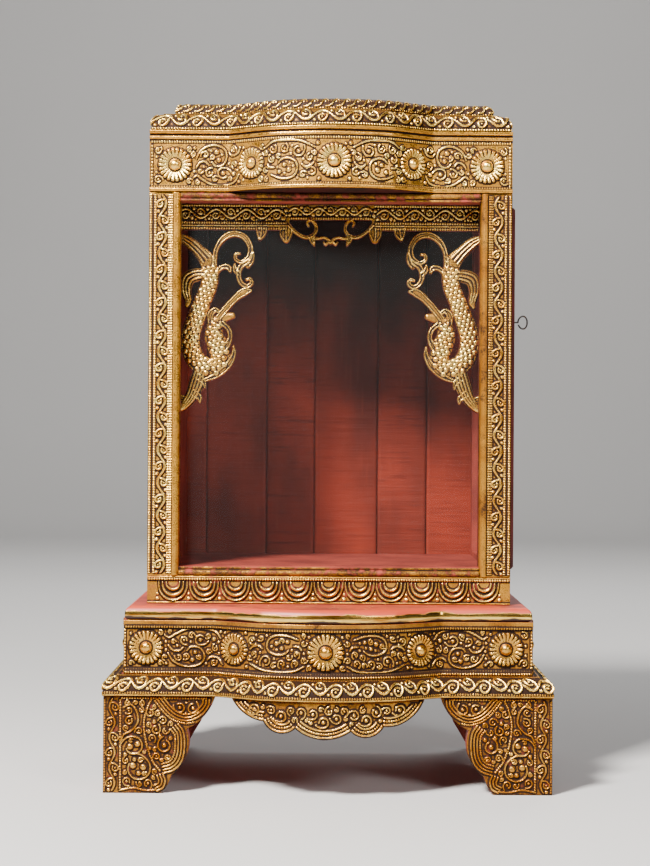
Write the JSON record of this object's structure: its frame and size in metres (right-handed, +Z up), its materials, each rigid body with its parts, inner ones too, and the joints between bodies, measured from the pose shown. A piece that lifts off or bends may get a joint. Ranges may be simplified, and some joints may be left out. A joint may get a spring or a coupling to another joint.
{
  "type": "temple shrine",
  "caption": "Glazed wooden cabinet shrine with a bowed front, carved and gilded over red lacquer, on bracket feet, with a side door.",
  "frame": {"origin": "on the floor, at the middle of the base's bounding box", "axes": "+Z up, the glazed front faces -Y, +X to the right of someone who faces the front"},
  "size_m": [0.44, 0.34, 0.6842],
  "materials": {
    "gold_leaf": "gold leaf over moulded lacquer relief, dark in the hollows",
    "worn_gold": "worn gold leaf with black lacquer showing",
    "red_lacquer": "worn cinnabar lacquer, satin",
    "dark_red_lacquer": "dark red lacquer, satin",
    "iron": "dark wrought iron wire and sheet",
    "clear_glass": "thin clear window glass"
  },
  "bodies": {
    "cabinet": {"frieze_front": "gold_leaf", "frame_stile_left": "gold_leaf", "frame_stile_right": "gold_leaf", "lotus_rail": "gold_leaf", "valance": "gold_leaf", "naga_left": "gold_leaf", "naga_right": "gold_leaf", "plinth_front": "gold_leaf", "plinth_left": "gold_leaf", "plinth_right": "gold_leaf", "tier_front": "gold_leaf", "tier_left": "gold_leaf", "tier_right": "gold_leaf", "apron_front": "gold_leaf", "foot_front_left": "gold_leaf", "foot_front_right": "gold_leaf", "cap": "worn_gold", "cornice": "worn_gold", "frame_head": "worn_gold", "frame_sill": "worn_gold", "ledge": "red_lacquer", "side_wall_left": "red_lacquer", "doorway_post_front": "red_lacquer", "doorway_post_back": "red_lacquer", "doorway_head": "red_lacquer", "doorway_sill": "red_lacquer", "cabinet_floor": "red_lacquer", "glazing_strip_bottom": "red_lacquer", "plinth_back": "red_lacquer", "tier_back": "red_lacquer", "foot_back_left": "red_lacquer", "foot_back_right": "red_lacquer", "foot_front_left_return": "red_lacquer", "foot_front_right_return": "red_lacquer", "foot_back_left_return": "red_lacquer", "foot_back_right_return": "red_lacquer", "back_board_1": "red_lacquer", "back_board_2": "red_lacquer", "back_board_3": "red_lacquer", "back_board_4": "red_lacquer", "back_board_5": "red_lacquer", "back_board_6": "red_lacquer", "cabinet_ceiling": "dark_red_lacquer", "door_hanging_strip": "dark_red_lacquer", "glazing_strip_left": "dark_red_lacquer", "glazing_strip_right": "dark_red_lacquer", "glazing_strip_top": "dark_red_lacquer", "hinge_upper_post": "iron", "hinge_lower_post": "iron", "glass_pane": "clear_glass"},
    "door": {"side_door": "dark_red_lacquer", "door_pull": "iron", "hinge_upper_door": "iron", "hinge_lower_door": "iron"}
  },
  "joints": [
    {"name": "door_hinge", "type": "hinge", "parent": "cabinet", "child": "door", "pos_m": [0.1901, 0.1315, 0.3995], "axis": [0, 0, 1], "range_deg": [0, 110]}
  ]
}
